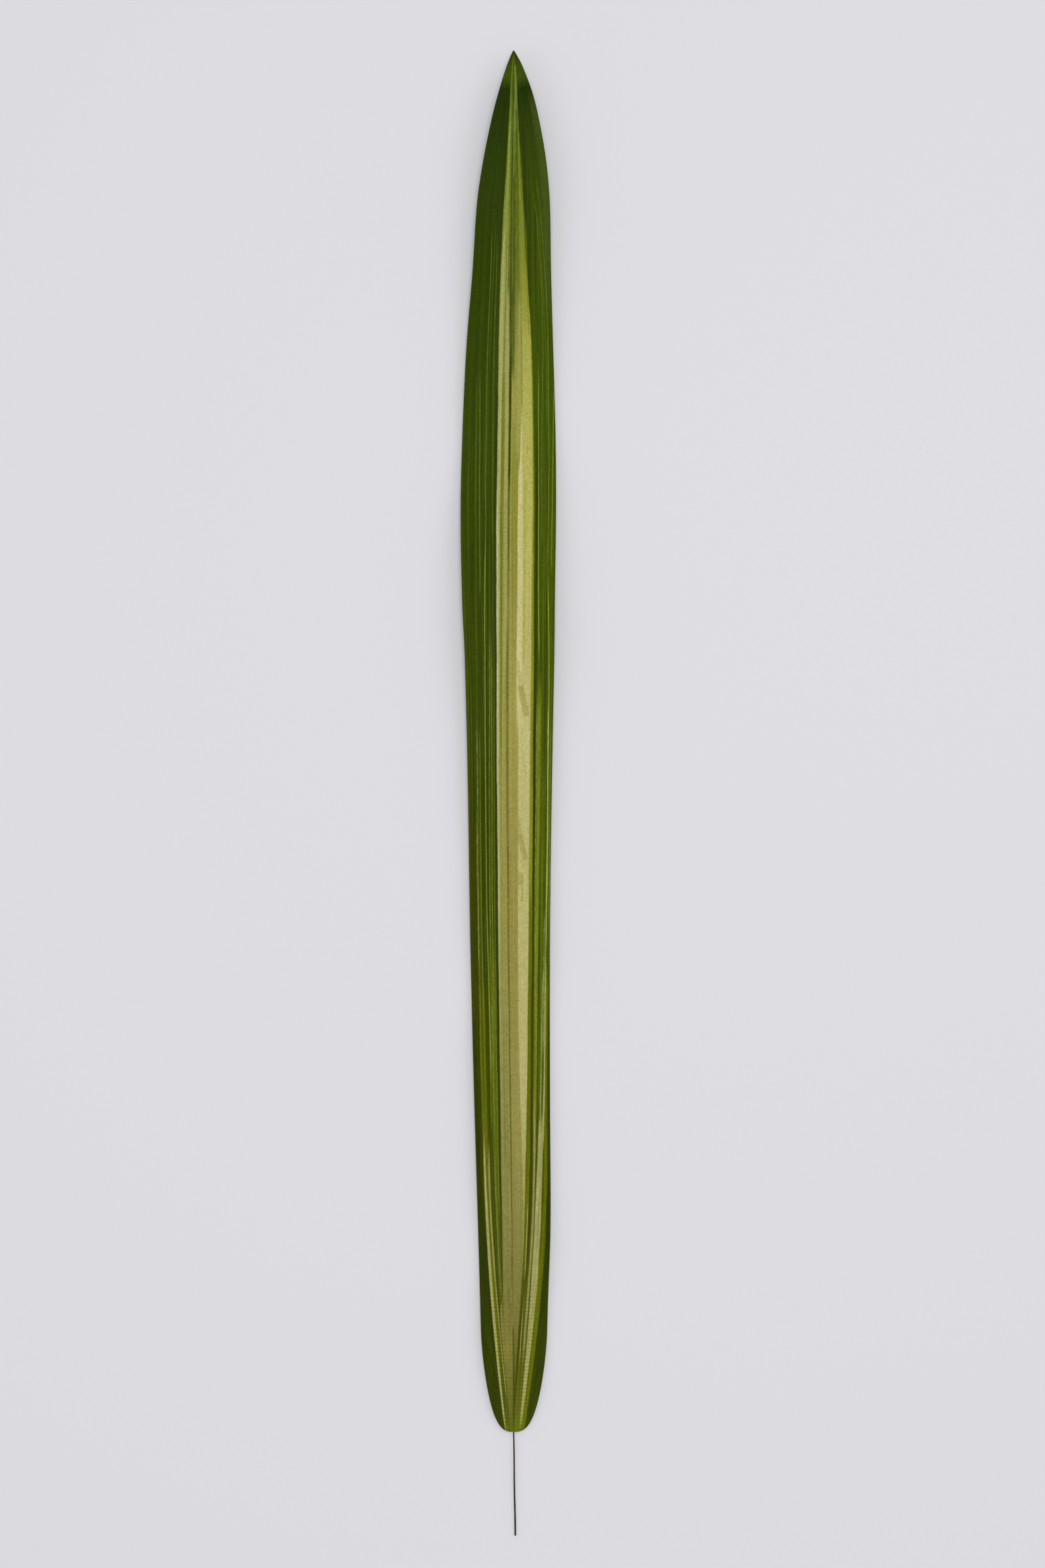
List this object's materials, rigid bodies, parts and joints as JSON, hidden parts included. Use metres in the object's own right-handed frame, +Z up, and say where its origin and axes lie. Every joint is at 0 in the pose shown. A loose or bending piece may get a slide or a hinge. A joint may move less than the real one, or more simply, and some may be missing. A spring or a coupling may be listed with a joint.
{
  "type": "variegated strap leaf",
  "caption": "Long flat strap leaf with a pointed tip, a rounded cut base and a short wiry stalk, lying face up.",
  "frame": {"origin": "on the surface that the leaf lies on, under the middle of its bounding box", "axes": "+Y along the leaf from the stalk to the tip, +Z up out of the leaf's face, +X to the right of the face seen with the tip at the top"},
  "size_m": [0.0414, 0.6453, 0.0111],
  "materials": {
    "leaf": "satin",
    "stalk": "satin"
  },
  "bodies": {
    "root": {"leaf_blade": "leaf", "stalk": "stalk"}
  },
  "joints": []
}
